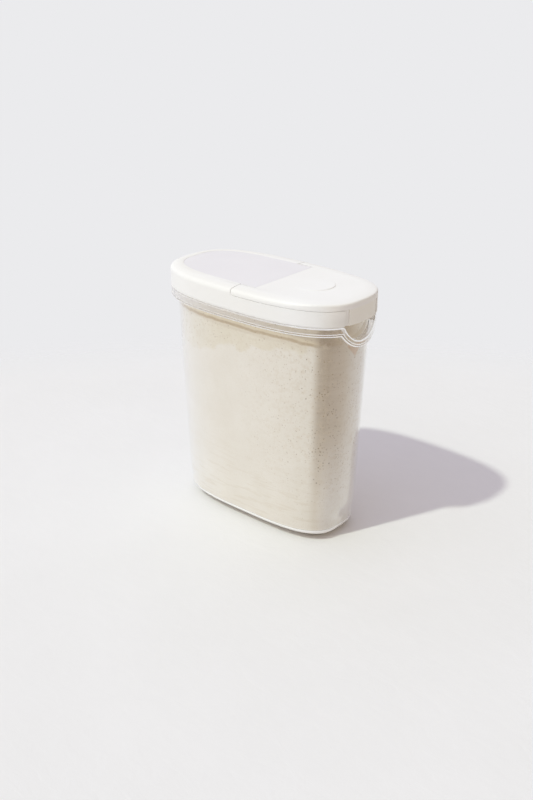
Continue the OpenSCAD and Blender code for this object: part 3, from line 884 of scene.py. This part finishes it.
def rim_seal():
    """The soft ring in the plug's groove. Across its section, 0 is by the tub's wall and 1 in the groove."""
    z0 = groove_z + groove_play / 2
    z1 = z0 + rim_gasket_h
    wall, groove = tub_oval(z0, tub_wall + rim_gasket_gap), lid_oval(plug_inset + groove_d - groove_play / 2)
    section = rounded([(0, z0), (0, z1), (1, z1), (1, z0)], 0.35, 4, True)
    return loft("seal", [(wall * (1 - s) + groove * s, z) for s, z in section], closed=True)


dress(rim_seal(), "rim_seal", SEAL, "lid", ["rim_gasket"])


# Flip-top with its liner and seal

def press_pad():
    """The low round pad, tilted so that it is highest at its front edge."""
    t = np.linspace(0, 2 * np.pi, PAD_STEPS, endpoint=False)
    circle = np.stack([np.cos(t), np.sin(t)], 1)
    corners = [(pad_d / 2 + join, -join), (pad_d / 2 - pad_h, pad_h), (pad_cap_r, pad_h)]
    path = rounded(corners, [0, 1.2, 0], 6)

    def height(r, h):
        if h <= 0:
            return np.full(PAD_STEPS, top_z + h)
        return top_z + h * (0.5 + 0.5 * circle[:, 0] * r / (pad_d / 2)) ** 2

    return loft("pad", [(circle * r + [pad_x, 0], height(r, h)) for r, h in path])


def flip_top():
    """The front half of the lid's form, hollowed from below, with its arms, tab, press pad and pin bores."""
    boss_x = hinge_x + hinge_r + lid_wall
    arm = arm_side(arm_r, arm_slim)
    room = block("room", flip_face, lid_len, -lid_w, lid_w, flip_z, FAR)
    add(room, *sides(lambda s: prism_y("arm", arm, *span_y(s, arm_side_y, lid_w))))
    body = both(lid_block("flip"), room)
    for inset, height in ((lid_wall, flip_z + lid_wall), (shoulder_r, skin_z)):
        plan = block("p", block_x + part_gap + lid_wall, lid_len, -lid_w, lid_w, 0, FAR)
        for s in (1, -1):
            add(plan, block("p", boss_x, lid_len, *span_y(s, arm_half + lid_wall, lid_w), 0, FAR))
        cut(body, both(prism("c", lid_oval(inset), flip_z - join, height), plan))
    tab = both(band("tab", lid_oval, tab_inset, tab_inset + tab_t, tab_z, flip_z + lid_wall + join),
               block("b", 0, lid_len, -tab_w / 2, tab_w / 2, 0, FAR))
    add(body, tab)
    add(body, press_pad())
    bore_r, bore_end = pin_r + pin_clear, arm_half + pin_reach
    return cut(body, *sides(lambda s: round_y("c", bore_r, *span_y(s, block_half, bore_end))))


dress(flip_top(), "flip_shell", WHITE, "flip_top", ["flip_top"], soften=edge_soft)


def flip_liner():
    """The inner moulding: a plate under the flip-top's skin, and a plug wall that goes into the mouth."""
    edge, wall_in = -collar_t - spout_gasket_lip - liner_rim, plug_gap + lid_wall
    plug_z = collar_z - plug_depth
    corners = [(wall_in + liner_cap_in, liner_z), (wall_in, liner_z), (wall_in, plug_z), (plug_gap, plug_z),
               (plug_gap, liner_z), (edge, liner_z), (edge, skin_z), (edge + cap_in, skin_z)]
    path = rounded(corners, [0, 0.5, 0.6, 0.6, 0.4, 0.5, 0.15, 0], 4)
    return loft("liner", [(mouth_oval(d), z) for d, z in path])


def spout_seal():
    """The soft ring under the liner, above the pour collar."""
    outer, inner = -collar_t - spout_gasket_lip, spout_gasket_lip
    corners = [(outer, spout_seal_z), (outer, liner_z), (inner, liner_z), (inner, spout_seal_z)]
    return ring("mouth_ring", rounded(corners, 0.6, 5, True), mouth_oval)


dress(flip_liner(), "flip_top_liner", WHITE, "flip_top", ["flip_liner"])
dress(spout_seal(), "spout_seal", SEAL, "flip_top", ["spout_gasket"])

for pin in ("hinge_pin_left", "hinge_pin_right"):
    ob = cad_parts[pin]
    ob.data.materials.clear()
    ob.data.materials.append(STEEL)


# Floor, light and camera

# Metres, on the floor: the middle of what shows, half the sheet's side, and where it fades out
FLOOR_X, FLOOR_Y, FLOOR_Z, FLOOR_HALF, FADE_FROM, FADE_TO = 0.62, -0.73, -0.0003, 1.6, 1.26, 1.42
# The sky is brightest towards SKY_SIDE and dimmest, and warmer, on the other side
SKY_SIDE, SKY_LEAST, SKY_MOST = (-0.80, -0.20, 0.56), 0.17, 0.92
SKY_WARM, SKY_COOL, BACKDROP = rgb(1.04, 0.80, 0.50), rgb(0.906, 0.914, 1.144), rgb(0.831, 0.831, 0.847)
SUN_POWER, SUN_SPREAD, SUN_COLOUR, SUN_WAY = 1.48, 2.2, (0.935, 1.01, 0.88), (0.2625, 0.6890, -1)
# Eye and target in millimetres; the focal length and the image centre's offset in pixels of a frame 800 high
EYE, TARGET = Vector((539.32, -636.86, 483.40)), Vector((0, 0, 116))
FOCAL, OFF_X, OFF_Y, FRAME_H, SENSOR = 1005.26, 3.918, 9.831, 800, 36


def floor():
    """A pale, lightly trowelled surface that fades into the backdrop all round."""
    p = Paint("pale_floor")
    x, y, _ = p.axes()
    trowel = p.noise(38, 5, 0.6, at=p.stretched((1, 2.2, 1), (0, 0, 0.5)), warp=0.6)
    grit = p.noise(420, 4, 0.6)
    height = p.math("ADD", trowel, p.math("MULTIPLY", grit, 0.25))
    tone = p.mix(p.span(p.noise(9, 3), 0.3, 0.7), rgb(0.840, 0.840, 0.832), rgb(0.858, 0.858, 0.852))
    tone = p.mix(p.span(trowel, 0.35, 0.7, 0.0, 0.3), tone, rgb(0.83, 0.83, 0.825))
    s = p.shader(Base_Color=tone, Roughness=0.9, Specular_IOR_Level=0.1, Normal=p.bump(height, 0.0007, 0.5))
    dx, dy = p.math("SUBTRACT", x, FLOOR_X), p.math("SUBTRACT", y, FLOOR_Y)
    far = p.math("SQRT", p.math("ADD", p.math("MULTIPLY", dx, dx), p.math("MULTIPLY", dy, dy)))
    fade = p.span(far, FADE_FROM, FADE_TO, smooth=True)
    gone = p.node("ShaderNodeBsdfTransparent")
    m = p.node("ShaderNodeMixShader")
    p.put(m.inputs[0], fade)
    p.put(m.inputs[1], s.outputs[0])
    p.put(m.inputs[2], gone.outputs[0])
    p.show(m.outputs[0])
    mesh = bpy.data.meshes.new("floor")
    corners = [(FLOOR_X + sx * FLOOR_HALF, FLOOR_Y + sy * FLOOR_HALF, FLOOR_Z)
               for sx, sy in ((-1, -1), (1, -1), (1, 1), (-1, 1))]
    mesh.from_pydata(corners, [], [(0, 1, 2, 3)])
    ob = bpy.data.objects.new("floor", mesh)
    scene.collection.objects.link(ob)
    mesh.materials.append(p.mat)


def light():
    """A sun from the left front, and a soft sky that is brighter on the left."""
    world = bpy.data.worlds.new("studio")
    scene.world = world
    world.use_nodes = True
    tree = world.node_tree
    tree.nodes.clear()
    link = tree.links.new
    out = tree.nodes.new("ShaderNodeOutputWorld")
    path = tree.nodes.new("ShaderNodeLightPath")
    side = tree.nodes.new("ShaderNodeVectorMath")
    side.operation = "DOT_PRODUCT"
    link(tree.nodes.new("ShaderNodeTexCoord").outputs["Generated"], side.inputs[0])
    side.inputs[1].default_value = SKY_SIDE
    spans = []
    for low, high in ((0.0, 1.0), (SKY_LEAST, SKY_MOST)):
        n = tree.nodes.new("ShaderNodeMapRange")
        link(side.outputs["Value"], n.inputs["Value"])
        for k, v in (("From Min", -1.0), ("From Max", 1.0), ("To Min", low), ("To Max", high)):
            n.inputs[k].default_value = v
        spans.append(n.outputs["Result"])
    share, power = spans
    tone = tree.nodes.new("ShaderNodeMix")
    tone.data_type = "RGBA"
    link(share, tone.inputs[0])
    tone.inputs[6].default_value = SKY_WARM
    tone.inputs[7].default_value = SKY_COOL
    soft = tree.nodes.new("ShaderNodeBackground")
    link(tone.outputs[2], soft.inputs["Color"])
    link(power, soft.inputs["Strength"])
    seen = tree.nodes.new("ShaderNodeBackground")
    seen.inputs["Color"].default_value = BACKDROP
    seen.inputs["Strength"].default_value = 1.0
    last = soft.outputs[0]
    for ray in ("Is Camera Ray", "Is Glossy Ray", "Is Transmission Ray"):
        m = tree.nodes.new("ShaderNodeMixShader")
        link(path.outputs[ray], m.inputs[0])
        link(last, m.inputs[1])
        link(seen.outputs[0], m.inputs[2])
        last = m.outputs[0]
    link(last, out.inputs["Surface"])
    lamp = bpy.data.lights.new("key", "SUN")
    lamp.energy, lamp.angle, lamp.color = SUN_POWER, math.radians(SUN_SPREAD), SUN_COLOUR
    lamp.cycles.use_multiple_importance_sampling = False
    ob = bpy.data.objects.new("key", lamp)
    ob.rotation_euler = Vector(SUN_WAY).to_track_quat("-Z", "Y").to_euler()
    scene.collection.objects.link(ob)


def camera():
    """The camera, turned a little off its target so that the image centre's offset needs no shift."""
    look = (TARGET - EYE).normalized()
    yaw = math.atan2(look.y, look.x) + math.atan2(OFF_X, FOCAL)
    pitch = math.asin(look.z) - math.atan2(OFF_Y, FOCAL)
    ahead = Vector((math.cos(pitch) * math.cos(yaw), math.cos(pitch) * math.sin(yaw), math.sin(pitch)))
    data = bpy.data.cameras.new("camera")
    data.sensor_fit, data.sensor_height, data.sensor_width = "VERTICAL", SENSOR, SENSOR
    data.lens = FOCAL / FRAME_H * SENSOR
    data.clip_start, data.clip_end = 0.01, 20
    ob = bpy.data.objects.new("camera", data)
    ob.location = EYE * MM
    ob.rotation_euler = ahead.to_track_quat("-Z", "Y").to_euler()
    scene.collection.objects.link(ob)
    scene.camera = ob


floor()
light()
camera()
scene.view_settings.view_transform = "Standard"
